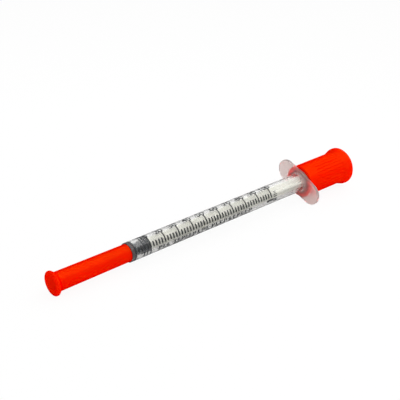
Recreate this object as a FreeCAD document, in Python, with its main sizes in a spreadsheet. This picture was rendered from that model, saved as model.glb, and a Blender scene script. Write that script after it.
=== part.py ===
# One millilitre insulin syringe with its needle shield and plunger cap, lying on its side
import FreeCAD
import Part
import Sketcher
import os

# The axis runs along X with the zero line at the origin, the needle towards -X and +Z up.
# Sizes are in millimetres, angles in degrees.
SIZES = {
    # Clear barrel
    "bore_dia": 4.65,
    "barrel_wall": 0.925,
    "scale_length": 59,
    "scale_to_flange": 16.3,
    "front_wall": 1.4,
    "bore_mouth_flare": 0.4,
    "bead_height": 0.12,
    "bead_length": 1.2,
    "bead_to_flange": 5,
    # Nose that holds the needle
    "nose_length": 9,
    "nose_dia": 3.5,
    "nose_taper": 0.2,
    "nose_fin_reach": 0.45,
    "nose_fin_width": 0.7,
    "nose_fin_length": 7,
    "nose_fin_count": 6,
    "channel_dia": 0.6,
    # Finger flange and the collar behind it
    "flange_length": 20.6,
    "flange_tip_dia": 8,
    "flange_belly": 0.55,
    "flange_thickness": 1.1,
    "flange_edge": 0.3,
    "flange_root": 0.6,
    "collar_dia": 9,
    "collar_wall": 0.9,
    "collar_length": 3,
    # Printed scale
    "line_width": 0.38,
    "ink_height": 0.03,
    "tick_count": 51,
    "tick_start_angle": 43.2,
    "tick_sweep_angle": 39,
    "long_line_count": 11,
    "long_line_start_angle": 7.2,
    "long_line_sweep_angle": 75,
    # Steel needle and its glue
    "needle_dia": 0.33,
    "needle_bore": 0.18,
    "needle_length": 12.7,
    "needle_seat": 5,
    "bevel_length": 0.9,
    "bevel_land": 0.03,
    "glue_dia": 1.4,
    "glue_depth": 2,
    "glue_rise": 0.5,
    # Needle shield
    "shield_length": 28.35,
    "shield_wall": 0.7,
    "shield_growth": 0.175,
    "shield_grip_length": 9.5,
    "shield_step": 0.2,
    "shield_end_wall": 1.6,
    "shield_rim_reach": 0.95,
    "shield_rim_length": 1,
    "shield_rim_root": 1.1,
    "shield_end_face_dia": 5.6,
    "shield_end_slope": 0.45,
    "shield_edge": 0.2,
    # Rubber stopper
    "stopper_length": 6.5,
    "ring_width": 0.65,
    "ring_slope": 0.15,
    "ring_pitch": 1.28,
    "waist_depth": 0.4,
    "head_dia": 2.9,
    "head_length": 1.8,
    "neck_dia": 1.9,
    "neck_length": 1.3,
    # Plunger rod
    "rod_disc_length": 0.8,
    "fin_width": 0.9,
    "fin_turn_angle": 45,
    "thumb_thickness": 1.4,
    "thumb_edge": 0.3,
    "thumb_boss_dia": 6.4,
    "thumb_boss_length": 0.9,
    # Plunger cap
    "cap_length": 21.55,
    "cap_wall": 1.25,
    "cap_end_wall": 1.5,
    "cap_flare_place": 4.5,
    "cap_flare_length": 2.8,
    "cap_flare_reach": 0.95,
    "cap_end_slope": 0.8,
    "cap_end_face_dia": 12,
    "cap_soft_corner": 1.8,
    "cap_edge": 0.35,
    "rib_count": 30,
    "rib_start": 4.1,
    "rib_groove_width": 0.36,
    "rib_groove_depth": 0.22,
    "rib_run_out": 0.9,
    # Clearances
    "slide_gap": 0.03,
    "grip_gap": 0.03,
    "seat_gap": 0.05,
    "thumb_gap": 0.25,
    "fin_gap": 0.15,
    "plunger_end_gap": 1.6,
    "head_gap": 0.05,
    "rest_gap": 0.05,
}

doc = FreeCAD.newDocument("insulin_syringe")
sheet = doc.addObject("Spreadsheet::Sheet", "sizes")
for row, (alias, size) in enumerate(SIZES.items(), 1):
    sheet.set(f"A{row}", alias)
    sheet.set(f"B{row}", str(size))
    sheet.setAlias(f"B{row}", alias)
doc.recompute()


def total(*terms):
    """Join size expressions with plus signs."""
    return "(" + " + ".join(terms) + ")"


def minus(first, *others):
    """Take size expressions away from the first one."""
    return "(" + " - ".join((first,) + others) + ")"


def half(term):
    return f"({term} / 2)"


# Radii of the barrel and the places along it
bore_r = half("sizes.bore_dia")
tube_r = total(bore_r, "sizes.barrel_wall")
shoulder_x = minus("0", "sizes.front_wall")
nose_x = minus(shoulder_x, "sizes.nose_length")
nose_r = half("sizes.nose_dia")
nose_tip_r = minus(nose_r, "sizes.nose_taper")
nose_grip_r = total(nose_r, "sizes.nose_fin_reach")
flange_x = total("sizes.scale_length", "sizes.scale_to_flange")
flange_back_x = total(flange_x, "sizes.flange_thickness")
collar_x = total(flange_back_x, "sizes.collar_length")
collar_r = half("sizes.collar_dia")
recess_r = minus(collar_r, "sizes.collar_wall")
mouth_r = total(bore_r, "sizes.bore_mouth_flare")
bead_x = minus(flange_x, "sizes.bead_to_flange")
bead_r = minus(bore_r, "sizes.bead_height")

# Needle and glue
needle_r = half("sizes.needle_dia")
needle_back_x = total(nose_x, "sizes.needle_seat")
needle_tip_x = minus(nose_x, "sizes.needle_length")
glue_r = half("sizes.glue_dia")
glue_x = total(nose_x, "sizes.glue_depth")

# Needle shield
shield_mouth_x = minus(shoulder_x, "sizes.seat_gap")
shield_end_x = minus(shield_mouth_x, "sizes.shield_length")
shield_bore_r = total(nose_grip_r, "sizes.grip_gap")
shield_mouth_r = total(shield_bore_r, "sizes.shield_wall")
shield_body_r = total(shield_mouth_r, "sizes.shield_growth")
shield_rim_r = total(shield_body_r, "sizes.shield_rim_reach")
shield_rim_x = total(shield_end_x, "sizes.shield_rim_length")

# Stopper and rod
stopper_x = "sizes.seat_gap"
stopper_back_x = total(stopper_x, "sizes.stopper_length")
ring_r = minus(bore_r, "sizes.slide_gap")
waist_r = minus(ring_r, "sizes.waist_depth")
rod_r = minus(bead_r, "sizes.fin_gap")
head_r = half("sizes.head_dia")
neck_r = half("sizes.neck_dia")

# Plunger cap
cap_mouth_x = total(flange_back_x, "sizes.seat_gap")
cap_end_x = total(cap_mouth_x, "sizes.cap_length")
cap_inner_end_x = minus(cap_end_x, "sizes.cap_end_wall")
cap_bore_r = total(collar_r, "sizes.grip_gap")
cap_r = total(cap_bore_r, "sizes.cap_wall")
cap_flare_x = minus(cap_end_x, "sizes.cap_flare_place")
cap_crest_x = total(cap_flare_x, "sizes.cap_flare_length")
cap_crest_r = total(cap_r, "sizes.cap_flare_reach")
thumb_back_x = minus(cap_inner_end_x, "sizes.plunger_end_gap")
thumb_x = minus(thumb_back_x, "sizes.thumb_thickness")
thumb_r = minus(cap_bore_r, "sizes.thumb_gap")

# The syringe lies on the shield's rim, the cap's crest and one tip of the flange,
# so the flange is turned about the axis until that tip meets the line through both rims.
rim_slope = f"(({cap_crest_r} - {shield_rim_r}) / ({cap_crest_x} - {shield_rim_x}))"
rest_depth = f"({shield_rim_r} + {rim_slope} * ({flange_x} - {shield_rim_x}) - sizes.rest_gap)"
flange_tip_r = half("sizes.flange_tip_dia")
flange_tip_place = minus(half("sizes.flange_length"), flange_tip_r)
flange_turn = f"asin(({rest_depth} - {flange_tip_r}) / {flange_tip_place})"


def number(text):
    """The present value of an expression."""
    result = sheet.evalExpression(text)
    return float(getattr(result, "Value", result))


def new_body(label):
    body = doc.addObject("PartDesign::Body", label)
    body.Label = label
    return body


def origin_part(body, role):
    """A body's own origin plane or axis."""
    return next(item for item in body.Origin.OriginFeatures if item.Role == role)


def new_sketch(body, name, plane, lift="0", turn="0", turn_axis=(0, 0, 1)):
    """A sketch on an origin plane, lifted along its normal and turned about one of its axes."""
    sketch = body.newObject("Sketcher::SketchObject", name)
    sketch.AttachmentSupport = [(origin_part(body, plane), "")]
    sketch.MapMode = "FlatFace"
    rotation = FreeCAD.Rotation(FreeCAD.Vector(*turn_axis), number(turn))
    sketch.AttachmentOffset = FreeCAD.Placement(FreeCAD.Vector(0, 0, number(lift)), rotation)
    if lift != "0":
        sketch.setExpression("AttachmentOffset.Base.z", lift)
    if turn != "0":
        sketch.setExpression("AttachmentOffset.Rotation.Angle", turn)
    return sketch


def hold_point(sketch, line, end, x, y):
    """Hold a point at two expressions measured from the sketch's origin."""
    for kind, axis, text in (("DistanceX", -2, x), ("DistanceY", -1, y)):
        if text == "0":
            sketch.addConstraint(Sketcher.Constraint("PointOnObject", line, end, axis))
            continue
        rule = sketch.addConstraint(Sketcher.Constraint(kind, -1, 1, line, end, number(text)))
        sketch.setExpression(f"Constraints[{rule}]", text)


def draw_outline(sketch, corners):
    """A closed outline of straight edges through corners given as pairs of expressions."""
    points = [FreeCAD.Vector(number(x), number(y), 0) for x, y in corners]
    following = points[1:] + points[:1]
    for start, stop in zip(points, following):
        sketch.addGeometry(Part.LineSegment(start, stop), False)
    for index in range(len(points)):
        after = (index + 1) % len(points)
        sketch.addConstraint(Sketcher.Constraint("Coincident", index, 2, after, 1))
    for index, (x, y) in enumerate(corners):
        hold_point(sketch, index, 1, x, y)


def turned(body, name, corners, cut=False, angle="360", start="0"):
    """Revolve an outline of (place, radius) corners about the syringe's axis."""
    turn_axis = (1, 0, 0)
    sketch = new_sketch(body, name + "_outline", "XZ_Plane", turn=start, turn_axis=turn_axis)
    draw_outline(sketch, corners)
    kind = "PartDesign::Groove" if cut else "PartDesign::Revolution"
    feature = body.newObject(kind, name)
    feature.Profile = sketch
    feature.ReferenceAxis = (sketch, ["H_Axis"])
    feature.setExpression("Angle", angle)
    return feature


def symmetric(body, kind, name, sketch, length):
    """A pad or pocket that reaches the same way to both sides of its sketch."""
    feature = body.newObject(kind, name)
    feature.Profile = sketch
    feature.SideType = "Symmetric"
    feature.setExpression("Length", length)
    return feature


def polar(body, name, feature, count):
    pattern = body.newObject("PartDesign::PolarPattern", name)
    pattern.Originals = [feature]
    pattern.Axis = (origin_part(body, "X_Axis"), [""])
    pattern.Angle = 360
    pattern.setExpression("Occurrences", count)
    body.Tip = pattern
    return pattern


def ring_edges(feature, places):
    """Names of the round edges at the given (place, radius) pairs."""
    wanted = [(number(x), number(r)) for x, r in places]
    names = []
    for index, edge in enumerate(feature.Shape.Edges, 1):
        if not isinstance(edge.Curve, Part.Circle):
            continue
        for x, r in wanted:
            if abs(edge.Curve.Center.x - x) < 1e-4 and abs(edge.Curve.Radius - r) < 1e-4:
                names.append(f"Edge{index}")
    return names


def rounded(body, name, feature, edges, radius):
    fillet = body.newObject("PartDesign::Fillet", name)
    fillet.Base = (feature, edges)
    fillet.setExpression("Radius", radius)
    doc.recompute()
    return fillet


def bevelled(body, name, feature, edges, width):
    chamfer = body.newObject("PartDesign::Chamfer", name)
    chamfer.Base = (feature, edges)
    chamfer.setExpression("Size", width)
    doc.recompute()
    return chamfer


def make_barrel():
    """Clear one-piece moulding: tube, nose, finger flange and collar."""
    body = new_body("barrel")
    turned(body, "tube", [
        (nose_x, "0"),
        (nose_x, nose_tip_r),
        (shoulder_x, nose_r),
        (shoulder_x, tube_r),
        (flange_back_x, tube_r),
        (flange_back_x, "0"),
    ])
    flange = make_flange(body)
    doc.recompute()
    join = ring_edges(flange, [(flange_x, tube_r)])
    root = bevelled(body, "flange_root", flange, join, "sizes.flange_root")
    bevelled(body, "flange_edge", root, flange_rim(root), "sizes.flange_edge")
    turned(body, "collar", [
        (flange_x, "0"),
        (flange_x, tube_r),
        (flange_back_x, collar_r),
        (collar_x, collar_r),
        (collar_x, "0"),
    ])
    make_nose_fins(body)
    turned(body, "bore", [
        ("0", "0"),
        ("0", bore_r),
        (minus(bead_x, half("sizes.bead_length")), bore_r),
        (bead_x, bead_r),
        (total(bead_x, half("sizes.bead_length")), bore_r),
        (flange_x, bore_r),
        (flange_back_x, mouth_r),
        (flange_back_x, recess_r),
        (collar_x, recess_r),
        (collar_x, "0"),
    ], cut=True)
    turned(body, "needle_channel", [
        ("0", "0"),
        ("0", half("sizes.channel_dia")),
        (needle_back_x, half("sizes.channel_dia")),
        (needle_back_x, needle_r),
        (glue_x, needle_r),
        (glue_x, glue_r),
        (nose_x, glue_r),
        (nose_x, "0"),
    ], cut=True)
    return body


def make_flange(body):
    """Long plate with two round tips, a round belly and straight sides that touch both."""
    sketch = new_sketch(body, "flange_outline", "YZ_Plane", lift=flange_x, turn=flange_turn)
    belly_r = total(flange_tip_r, "sizes.flange_belly")
    tip = number(flange_tip_r)
    belly = number(belly_r)
    place = FreeCAD.Vector(number(flange_tip_place), 0, 0)
    lean = (belly - tip) / place.x
    up_right = FreeCAD.Vector(lean, (1 - lean ** 2) ** 0.5, 0)
    up_left = FreeCAD.Vector(-up_right.x, up_right.y, 0)
    right = FreeCAD.Vector(1, 0, 0)
    top = FreeCAD.Vector(0, 1, 0)
    corners = [
        place - up_left * tip,
        place + up_right * tip,
        up_right * belly,
        up_left * belly,
        up_left * tip - place,
        up_right * -tip - place,
        up_right * -belly,
        up_left * -belly,
    ]
    arcs = {
        0: (place + right * tip, flange_tip_place, flange_tip_r),
        2: (top * belly, "0", belly_r),
        4: (right * -tip - place, minus("0", flange_tip_place), flange_tip_r),
        6: (top * -belly, "0", belly_r),
    }
    for index, start in enumerate(corners):
        stop = corners[(index + 1) % len(corners)]
        if index in arcs:
            sketch.addGeometry(Part.Arc(start, arcs[index][0], stop), False)
        else:
            sketch.addGeometry(Part.LineSegment(start, stop), False)
    for index in range(len(corners)):
        after = (index + 1) % len(corners)
        sketch.addConstraint(Sketcher.Constraint("Tangent", index, 2, after, 1))
    for index, (_, centre, radius) in arcs.items():
        hold_point(sketch, index, 3, centre, "0")
        rule = sketch.addConstraint(Sketcher.Constraint("Radius", index, number(radius)))
        sketch.setExpression(f"Constraints[{rule}]", radius)
    pad = body.newObject("PartDesign::Pad", "flange")
    pad.Profile = sketch
    pad.setExpression("Length", "sizes.flange_thickness")
    return pad


def flange_rim(feature):
    """Names of the edges round the flange's two faces."""
    names = []
    for index, edge in enumerate(feature.Shape.Edges, 1):
        box = edge.BoundBox
        flat = box.XLength < 1e-6
        on_face = min(abs(box.XMin - number(place)) for place in (flange_x, flange_back_x)) < 1e-6
        reach = min(point.distanceToPoint(FreeCAD.Vector(point.x, 0, 0))
                    for point in edge.discretize(3))
        if flat and on_face and reach > number(flange_tip_r):
            names.append(f"Edge{index}")
    return names


def make_nose_fins(body):
    """Low fins along the nose that the needle shield grips."""
    sketch = new_sketch(body, "nose_fin_outline", "XZ_Plane")
    fin_tip_x = minus(shoulder_x, "sizes.nose_fin_length")
    lead = "sizes.nose_fin_reach"
    draw_outline(sketch, [
        (shoulder_x, half(nose_r)),
        (shoulder_x, nose_grip_r),
        (total(fin_tip_x, lead), nose_grip_r),
        (fin_tip_x, minus(nose_tip_r, "sizes.nose_taper")),
        (fin_tip_x, half(nose_r)),
    ])
    fin = symmetric(body, "PartDesign::Pad", "nose_fin", sketch, "sizes.nose_fin_width")
    return polar(body, "nose_fins", fin, "sizes.nose_fin_count")


def make_scale():
    """Printed lines: short ones all along and long ones at every fifth."""
    body = new_body("scale_lines")
    body.AllowCompound = True
    edge = half("sizes.line_width")
    corners = [
        (minus("0", edge), tube_r),
        (minus("0", edge), total(tube_r, "sizes.ink_height")),
        (edge, total(tube_r, "sizes.ink_height")),
        (edge, tube_r),
    ]
    for name in ("tick", "long_line"):
        sweep = f"sizes.{name}_sweep_angle"
        start = f"sizes.{name}_start_angle"
        line = turned(body, name, corners, angle=sweep, start=start)
        pattern = body.newObject("PartDesign::LinearPattern", name + "s")
        pattern.Originals = [line]
        pattern.Direction = (origin_part(body, "X_Axis"), [""])
        pattern.setExpression("Length", "sizes.scale_length")
        pattern.setExpression("Occurrences", f"sizes.{name}_count")
        body.Tip = pattern
    return body


def make_needle():
    """Thin steel tube, ground to a slanted point."""
    body = new_body("needle")
    bore = half("sizes.needle_bore")
    turned(body, "needle_tube", [
        (needle_tip_x, bore),
        (needle_tip_x, needle_r),
        (needle_back_x, needle_r),
        (needle_back_x, bore),
    ])
    sketch = new_sketch(body, "bevel_outline", "XZ_Plane")
    low = minus("sizes.bevel_land", needle_r)
    bevel_end_x = total(needle_tip_x, "sizes.bevel_length")
    beyond_x = minus(needle_tip_x, "sizes.bevel_length")
    draw_outline(sketch, [
        (beyond_x, low),
        (needle_tip_x, low),
        (bevel_end_x, needle_r),
        (bevel_end_x, "sizes.needle_dia"),
        (beyond_x, "sizes.needle_dia"),
    ])
    symmetric(body, "PartDesign::Pocket", "bevel", sketch, "2 * sizes.needle_dia")
    return body


def make_glue():
    """Bead that holds the needle in the nose."""
    body = new_body("needle_glue")
    turned(body, "glue_bead", [
        (glue_x, needle_r),
        (glue_x, glue_r),
        (nose_x, glue_r),
        (minus(nose_x, "sizes.glue_rise"), needle_r),
    ])
    return body


def make_shield():
    """Hollow cover over the needle, with a rim round its closed end."""
    body = new_body("needle_shield")
    deep_r = minus(shield_bore_r, "sizes.shield_step")
    step_x = minus(shield_mouth_x, "sizes.shield_grip_length")
    cavity_x = total(shield_end_x, "sizes.shield_end_wall")
    root_x = total(shield_rim_x, "sizes.shield_rim_root")
    slope_x = total(shield_end_x, "sizes.shield_end_slope")
    face_r = half("sizes.shield_end_face_dia")
    shell = turned(body, "shield_shell", [
        (shield_end_x, "0"),
        (shield_end_x, face_r),
        (slope_x, shield_rim_r),
        (shield_rim_x, shield_rim_r),
        (root_x, shield_body_r),
        (shield_mouth_x, shield_mouth_r),
        (shield_mouth_x, shield_bore_r),
        (step_x, shield_bore_r),
        (minus(step_x, "sizes.shield_step"), deep_r),
        (total(cavity_x, deep_r), deep_r),
        (cavity_x, half(deep_r)),
        (cavity_x, "0"),
    ])
    doc.recompute()
    corners = [(shield_end_x, face_r), (slope_x, shield_rim_r), (shield_rim_x, shield_rim_r)]
    edges = ring_edges(shell, corners + [(root_x, shield_body_r)])
    bevelled(body, "shield_edges", shell, edges, "sizes.shield_edge")
    return body


def make_stopper():
    """Rubber piston with sealing rings and a pocket for the rod's head."""
    body = new_body("stopper")
    slope = "sizes.ring_slope"
    first_end = total(stopper_x, "sizes.ring_width")
    outline = [
        (stopper_x, "0"),
        (stopper_x, minus(ring_r, slope)),
        (total(stopper_x, slope), ring_r),
        (minus(first_end, slope), ring_r),
        (total(first_end, slope), waist_r),
    ]
    for steps in (2, 1, 0):
        end = minus(stopper_back_x, f"{steps} * sizes.ring_pitch")
        start = minus(end, "sizes.ring_width")
        outline.append((minus(start, slope), waist_r))
        outline.append((total(start, slope), ring_r))
        outline.append((minus(end, slope), ring_r))
        if steps:
            outline.append((total(end, slope), waist_r))
    pocket_r = total(head_r, "sizes.head_gap")
    throat_r = total(neck_r, "sizes.head_gap")
    throat_x = minus(stopper_back_x, "sizes.neck_length")
    pocket_x = minus(throat_x, "sizes.head_length", "sizes.head_gap")
    outline += [
        (stopper_back_x, minus(ring_r, slope)),
        (stopper_back_x, throat_r),
        (throat_x, throat_r),
        (throat_x, pocket_r),
        (pocket_x, pocket_r),
        (pocket_x, "0"),
    ]
    turned(body, "stopper_rubber", outline)
    return body


def make_rod():
    """Plunger rod: head and neck, front disc, four fins and the thumb press."""
    body = new_body("plunger_rod")
    head_x = minus(stopper_back_x, "sizes.neck_length", "sizes.head_length")
    neck_x = minus(stopper_back_x, "sizes.neck_length", "sizes.head_gap")
    disc_x = total(stopper_back_x, "sizes.rod_disc_length")
    turned(body, "rod_front", [
        (head_x, "0"),
        (head_x, neck_r),
        (total(head_x, minus(head_r, neck_r)), head_r),
        (neck_x, head_r),
        (neck_x, neck_r),
        (stopper_back_x, neck_r),
        (stopper_back_x, rod_r),
        (disc_x, rod_r),
        (disc_x, "0"),
    ])
    turn = f"({flange_turn} + sizes.fin_turn_angle * 1 deg)"
    sketch = new_sketch(body, "fin_outline", "YZ_Plane", lift=disc_x, turn=turn)
    side = half("sizes.fin_width")
    reach = f"sqrt({rod_r} ^ 2 - {side} ^ 2)"
    cross = [
        (reach, side), (side, side), (side, reach),
        (minus("0", side), reach), (minus("0", side), side), (minus("0", reach), side),
        (minus("0", reach), minus("0", side)), (minus("0", side), minus("0", side)),
        (minus("0", side), minus("0", reach)),
        (side, minus("0", reach)), (side, minus("0", side)), (reach, minus("0", side)),
    ]
    draw_outline(sketch, cross)
    fins = body.newObject("PartDesign::Pad", "fins")
    fins.Profile = sketch
    fins.setExpression("Length", minus(thumb_x, disc_x))
    boss_r = half("sizes.thumb_boss_dia")
    press = turned(body, "thumb_press", [
        (minus(thumb_x, "sizes.thumb_boss_length"), "0"),
        (minus(thumb_x, "sizes.thumb_boss_length"), rod_r),
        (thumb_x, boss_r),
        (thumb_x, thumb_r),
        (thumb_back_x, thumb_r),
        (thumb_back_x, "0"),
    ])
    doc.recompute()
    edges = ring_edges(press, [(thumb_x, thumb_r), (thumb_back_x, thumb_r)])
    bevelled(body, "thumb_edges", press, edges, "sizes.thumb_edge")
    return body


def make_cap():
    """Hollow cover over the thumb press, ribbed outside and flared at its closed end."""
    body = new_body("plunger_cap")
    slope_x = minus(cap_end_x, "sizes.cap_end_slope")
    face_r = half("sizes.cap_end_face_dia")
    shell = turned(body, "cap_shell", [
        (cap_mouth_x, cap_bore_r),
        (cap_mouth_x, cap_r),
        (cap_flare_x, cap_r),
        (cap_crest_x, cap_crest_r),
        (slope_x, cap_crest_r),
        (cap_end_x, face_r),
        (cap_end_x, "0"),
        (cap_inner_end_x, "0"),
        (cap_inner_end_x, cap_bore_r),
    ])
    doc.recompute()
    soft = ring_edges(shell, [(cap_flare_x, cap_r), (cap_crest_x, cap_crest_r)])
    soft_corners = rounded(body, "cap_soft_corners", shell, soft, "sizes.cap_soft_corner")
    edges = ring_edges(soft_corners, [(slope_x, cap_crest_r), (cap_end_x, face_r)])
    bevelled(body, "cap_edges", soft_corners, edges, "sizes.cap_edge")
    turn = "(180 / sizes.rib_count)"
    sketch = new_sketch(body, "groove_outline", "XZ_Plane", turn=turn, turn_axis=(1, 0, 0))
    depth = "sizes.rib_groove_depth"
    start_x = total(cap_mouth_x, "sizes.rib_start")
    end_x = total(cap_flare_x, "sizes.rib_run_out")
    rise = f"({end_x} - {cap_flare_x}) * sizes.cap_flare_reach / sizes.cap_flare_length"
    above = total(cap_crest_r, depth)
    draw_outline(sketch, [
        (start_x, above),
        (start_x, minus(cap_r, depth)),
        (cap_flare_x, minus(cap_r, depth)),
        (end_x, f"({cap_r} - {depth} + {rise})"),
        (end_x, above),
    ])
    width = "sizes.rib_groove_width"
    groove = symmetric(body, "PartDesign::Pocket", "groove", sketch, width)
    polar(body, "grooves", groove, "sizes.rib_count")
    return body


def check_document():
    """Stop if any object failed, or a piece is empty, broken or in the wrong number of solids."""
    for item in doc.Objects:
        wrong = [state for state in item.State if state in ("Invalid", "Error")]
        if wrong:
            raise RuntimeError(f"{item.Label} is {wrong}")
    for body in BODIES:
        shape = body.Shape
        if shape.isNull() or not shape.isValid() or not shape.Solids:
            raise RuntimeError(f"{body.Label} has no valid shape")


MAKERS = [
    make_barrel,
    make_scale,
    make_needle,
    make_glue,
    make_shield,
    make_stopper,
    make_rod,
    make_cap,
]
BODIES = [make() for make in MAKERS]
doc.recompute()
check_document()

os.makedirs("parts", exist_ok=True)
for body in BODIES:
    body.Shape.exportStep(os.path.join("parts", body.Label + ".step"))
    box = body.Shape.BoundBox
    print(f"{body.Label}: {len(body.Shape.Solids)} solids, {body.Shape.Volume:.3f} cubic mm, "
          f"X {box.XMin:.2f} to {box.XMax:.2f}, Z {box.ZMin:.2f} to {box.ZMax:.2f}")
print(f"flange turn {number(flange_turn):.2f} degrees")
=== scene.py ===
# Looks of a one millilitre insulin syringe that lies capped on a white table
import math
import bmesh
import bpy
import numpy as np
from mathutils import Matrix, Vector


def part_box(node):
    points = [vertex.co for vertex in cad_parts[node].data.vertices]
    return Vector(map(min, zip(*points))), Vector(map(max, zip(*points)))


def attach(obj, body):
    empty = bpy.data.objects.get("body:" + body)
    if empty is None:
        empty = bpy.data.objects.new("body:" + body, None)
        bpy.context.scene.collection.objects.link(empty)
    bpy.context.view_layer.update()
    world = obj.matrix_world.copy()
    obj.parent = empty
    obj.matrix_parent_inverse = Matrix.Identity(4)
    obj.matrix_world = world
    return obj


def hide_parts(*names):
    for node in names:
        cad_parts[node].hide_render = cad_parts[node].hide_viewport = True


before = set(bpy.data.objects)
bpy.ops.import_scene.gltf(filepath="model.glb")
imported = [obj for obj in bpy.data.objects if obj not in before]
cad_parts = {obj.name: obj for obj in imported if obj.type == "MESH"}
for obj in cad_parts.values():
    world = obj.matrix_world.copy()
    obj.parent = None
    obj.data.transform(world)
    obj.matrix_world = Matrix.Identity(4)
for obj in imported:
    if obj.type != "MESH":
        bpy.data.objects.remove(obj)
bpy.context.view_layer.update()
mm = 0.001
print("frame loaded")


def linear(hexText):
    # sRGB to linear: v / 12.92 in the dark, else ((v + 0.055) / 1.055) to the power 2.4
    parts = [int(hexText[i:i + 2], 16) / 255 for i in (1, 3, 5)]
    parts = [v / 12.92 if v <= 0.04045 else ((v + 0.055) / 1.055) ** 2.4 for v in parts]
    return (*parts, 1.0)


def span(node):
    # lowest and highest place of a piece along the axis, in mm
    low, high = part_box(node)
    return low.x / mm, high.x / mm


def placed(name, data):
    # an object that carries the mesh, lamp or camera
    made = bpy.data.objects.new(name, data)
    bpy.context.collection.objects.link(made)
    return made


def signedVolume(points, squares):
    # six times the volume inside: each triangle (a, b, c) adds a . (b x c)
    a, b, c, d = (points[squares[:, i]] for i in range(4))
    return (a * np.cross(b, c)).sum() + (a * np.cross(c, d)).sum()


def surfaceMesh(name, grid, loopAlong=False, poles=False):
    # points in rows along the shape and columns round it; neighbours join in squares, the first
    # and last row shrink to one point each at poles, and the signed volume turns faces outwards
    rows, columns = grid.shape[:2]
    index = np.arange(rows * columns).reshape(rows, columns)
    points = grid.reshape(-1, 3)
    if poles:
        inner = (rows - 2) * columns
        index = np.vstack([np.full(columns, inner), np.arange(inner).reshape(-1, columns),
                           np.full(columns, inner + 1)]).astype(int)
        points = np.vstack([grid[1:-1].reshape(-1, 3), grid[0].mean(0), grid[-1].mean(0)])
    if loopAlong:
        index = np.vstack([index, index[:1]])
    after = np.roll(index, -1, axis=1)
    squares = np.stack([index[:-1], after[:-1], after[1:], index[1:]], axis=-1).reshape(-1, 4)
    if signedVolume(points, squares) < 0:
        squares = squares[:, ::-1]
    faces = [[v for i, v in enumerate(f) if v != f[i - 1]] for f in squares.tolist()]
    mesh = bpy.data.meshes.new(name)
    mesh.from_pydata((points * mm).tolist(), [], faces)
    mesh.shade_smooth()
    return placed(name, mesh)


# Rounded corners of every profile
cornerSizes = {
    "arcSteps": 6,
    "hold": 0.06,  # mm past an arc to one more station, which keeps the shading of its leg flat
    "arcShare": 0.42,  # most of a leg that an arc takes
    "holdShare": 0.3,  # most of the rest of the leg that the hold takes
    "least": 1e-9,  # mm, so that a leg without length doesn't divide by nothing
}


def softProfile(corners, steps=cornerSizes["arcSteps"]):
    # corners are (place, radius, softness): each softened one becomes an arc that touches both
    # its legs, found by turning evenly from one touching point to the other about the centre
    size = cornerSizes
    width = max(np.size(v) for corner in corners for v in corner[:2])
    spots = np.stack([np.stack([np.broadcast_to(np.asarray(v, float), (width,))
                                for v in corner[:2]], -1) for corner in corners])
    stations = []
    for i, corner in enumerate(corners):
        here = spots[i]
        if corner[2] == 0:
            stations.append(here)
            continue
        toBack = spots[i - 1] - here
        toNext = spots[(i + 1) % len(corners)] - here
        backLength = np.linalg.norm(toBack, axis=-1, keepdims=True)
        nextLength = np.linalg.norm(toNext, axis=-1, keepdims=True)
        u = toBack / np.maximum(backLength, size["least"])
        v = toNext / np.maximum(nextLength, size["least"])
        halfAngle = np.arccos(np.clip((u * v).sum(-1, keepdims=True), -1, 1)) / 2
        most = size["arcShare"] * np.minimum(backLength, nextLength)
        reach = np.minimum(corner[2] / np.tan(halfAngle), most)
        inward = (u + v) / np.linalg.norm(u + v, axis=-1, keepdims=True)
        middle = here + inward * reach / np.cos(halfAngle)
        first = here + u * reach - middle
        last = here + v * reach - middle
        turn = math.pi - 2 * halfAngle
        before = np.minimum(size["hold"], size["holdShare"] * (backLength - 2 * reach))
        beyond = np.minimum(size["hold"], size["holdShare"] * (nextLength - 2 * reach))
        stations.append(here + u * (reach + before))
        for share in np.linspace(0, 1, steps + 1):
            mixed = np.sin((1 - share) * turn) * first + np.sin(share * turn) * last
            stations.append(middle + mixed / np.sin(turn))
        stations.append(here + v * (reach + beyond))
    return np.stack(stations)


def filled(profile, step, closed):
    # extra stations, evenly spaced, on each leg that is longer than the step
    ends = np.concatenate([profile[1:], profile[:1]]) if closed else profile[1:]
    pieces = []
    for start, end in zip(profile, ends):
        length = np.linalg.norm(end - start, axis=-1).max()
        count = max(1, math.ceil(length / step))
        pieces += [start + (end - start) * share for share in np.arange(count) / count]
    if not closed:
        pieces.append(profile[-1])
    return np.stack(pieces)


def turned(profile, angles):
    # place and radius at an angle from +Y towards +Z: x = place, y = radius cos, z = radius sin
    radius = profile[..., 1]
    return np.stack([np.broadcast_to(profile[..., 0], radius.shape[:1] + angles.shape),
                     radius * np.cos(angles), radius * np.sin(angles)], axis=-1)


def evenAngles(count):
    # once round the axis, without the last angle, which is the first again
    return np.linspace(0, 2 * math.pi, count, endpoint=False)


def addNode(tree, kind, settings=None, links=None):
    # one shader node: settings go to its sockets or its own options, links come from other nodes
    made = tree.nodes.new("ShaderNode" + kind)
    for key, value in (settings or {}).items():
        if isinstance(key, int) or key in made.inputs:
            made.inputs[key].default_value = value
        else:
            setattr(made, key, value)
    for key, source in (links or {}).items():
        tree.links.new(source, made.inputs[key])
    return made


def newMaterial(name):
    # an empty material, its tree and its output
    material = bpy.data.materials.new(name)
    material.use_nodes = True
    tree = material.node_tree
    tree.nodes.clear()
    output = addNode(tree, "OutputMaterial")
    return material, tree, output


def noise(tree, size, detail, stretch=1.0):
    # noise in object coordinates with lumps of a size in mm; scaling x by less than 1 draws them
    # out along the part
    coordinates = addNode(tree, "TexCoord")
    where = addNode(tree, "Mapping", {"Scale": (stretch, 1, 1)},
                    {"Vector": coordinates.outputs["Object"]})
    made = addNode(tree, "TexNoise", {"Scale": 1000 / size, "Detail": detail},
                   {"Vector": where.outputs[0]})
    return made.outputs[0]


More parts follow.
